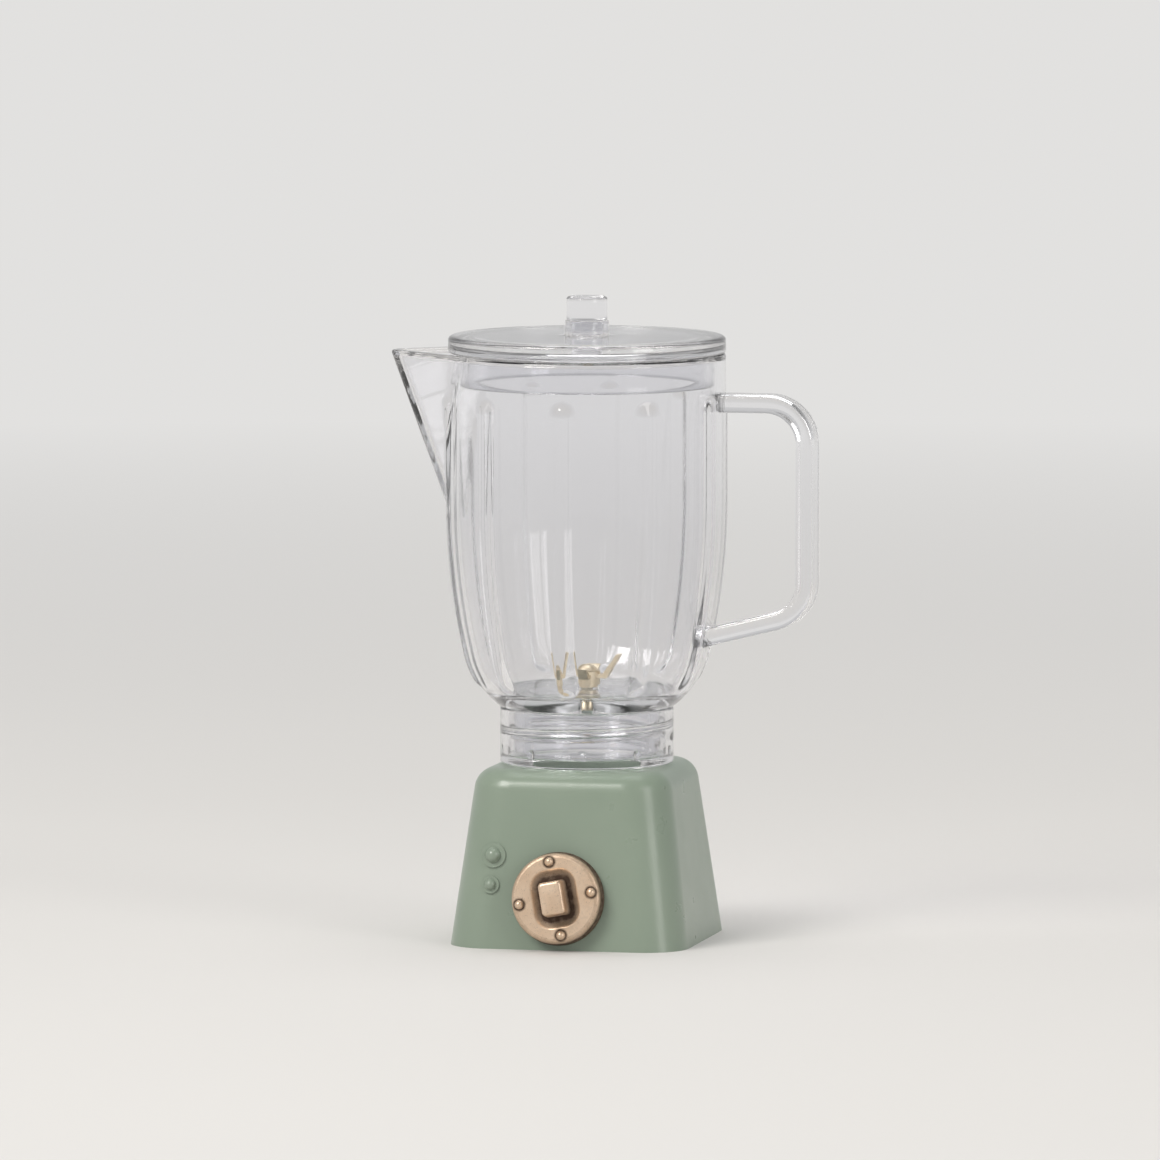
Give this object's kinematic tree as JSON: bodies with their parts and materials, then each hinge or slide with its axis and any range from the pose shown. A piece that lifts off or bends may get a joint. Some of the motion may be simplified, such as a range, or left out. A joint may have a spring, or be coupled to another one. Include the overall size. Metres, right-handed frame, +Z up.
{
  "type": "toy blender",
  "caption": "Doll-size toy blender: square tapered base with a turning dial, a clear ribbed jug with spout and handle that lifts off, a lift-out lid with filler cap, and a small blade.",
  "frame": {"origin": "middle of the underside of the base", "axes": "+Z up through the jug, -Y out of the dial face, +X towards the handle, -X towards the spout"},
  "size_m": [0.0494, 0.0335, 0.073],
  "materials": {
    "mint_plastic": "satin moulded",
    "aged_gold": "satin metallic coat with darker hollows",
    "clear_plastic": "clear moulded",
    "blade_metal": "satin",
    "screw_steel": "plated"
  },
  "bodies": {
    "base": {"base_housing": "mint_plastic", "base_cover": "mint_plastic", "cover_screws": "screw_steel"},
    "dial": {"dial": "aged_gold", "dial_washer": "screw_steel", "dial_screw": "screw_steel"},
    "jug": {"jug": "clear_plastic", "jug_handle": "clear_plastic", "jug_collar": "clear_plastic", "blade_pin": "blade_metal"},
    "blade": {"blade": "blade_metal"},
    "lid": {"lid": "clear_plastic"},
    "filler_cap": {"filler_cap": "clear_plastic"}
  },
  "joints": [
    {"name": "dial_turn", "type": "hinge", "parent": "base", "child": "dial", "pos_m": [-0.0003, -0.01296, 0.0058], "axis": [0, -0.992, 0.1265], "continuous": true},
    {"name": "jug_lift", "type": "slide", "parent": "base", "child": "jug", "axis": [0, 0, 1], "range_m": [0, 0.03]},
    {"name": "blade_spin", "type": "hinge", "parent": "jug", "child": "blade", "pos_m": [0, 0, 0.03], "axis": [0, 0, 1], "continuous": true},
    {"name": "lid_lift", "type": "slide", "parent": "jug", "child": "lid", "axis": [0, 0, 1], "range_m": [0, 0.02]},
    {"name": "cap_lift", "type": "slide", "parent": "lid", "child": "filler_cap", "axis": [0, 0, 1], "range_m": [0, 0.01]}
  ]
}
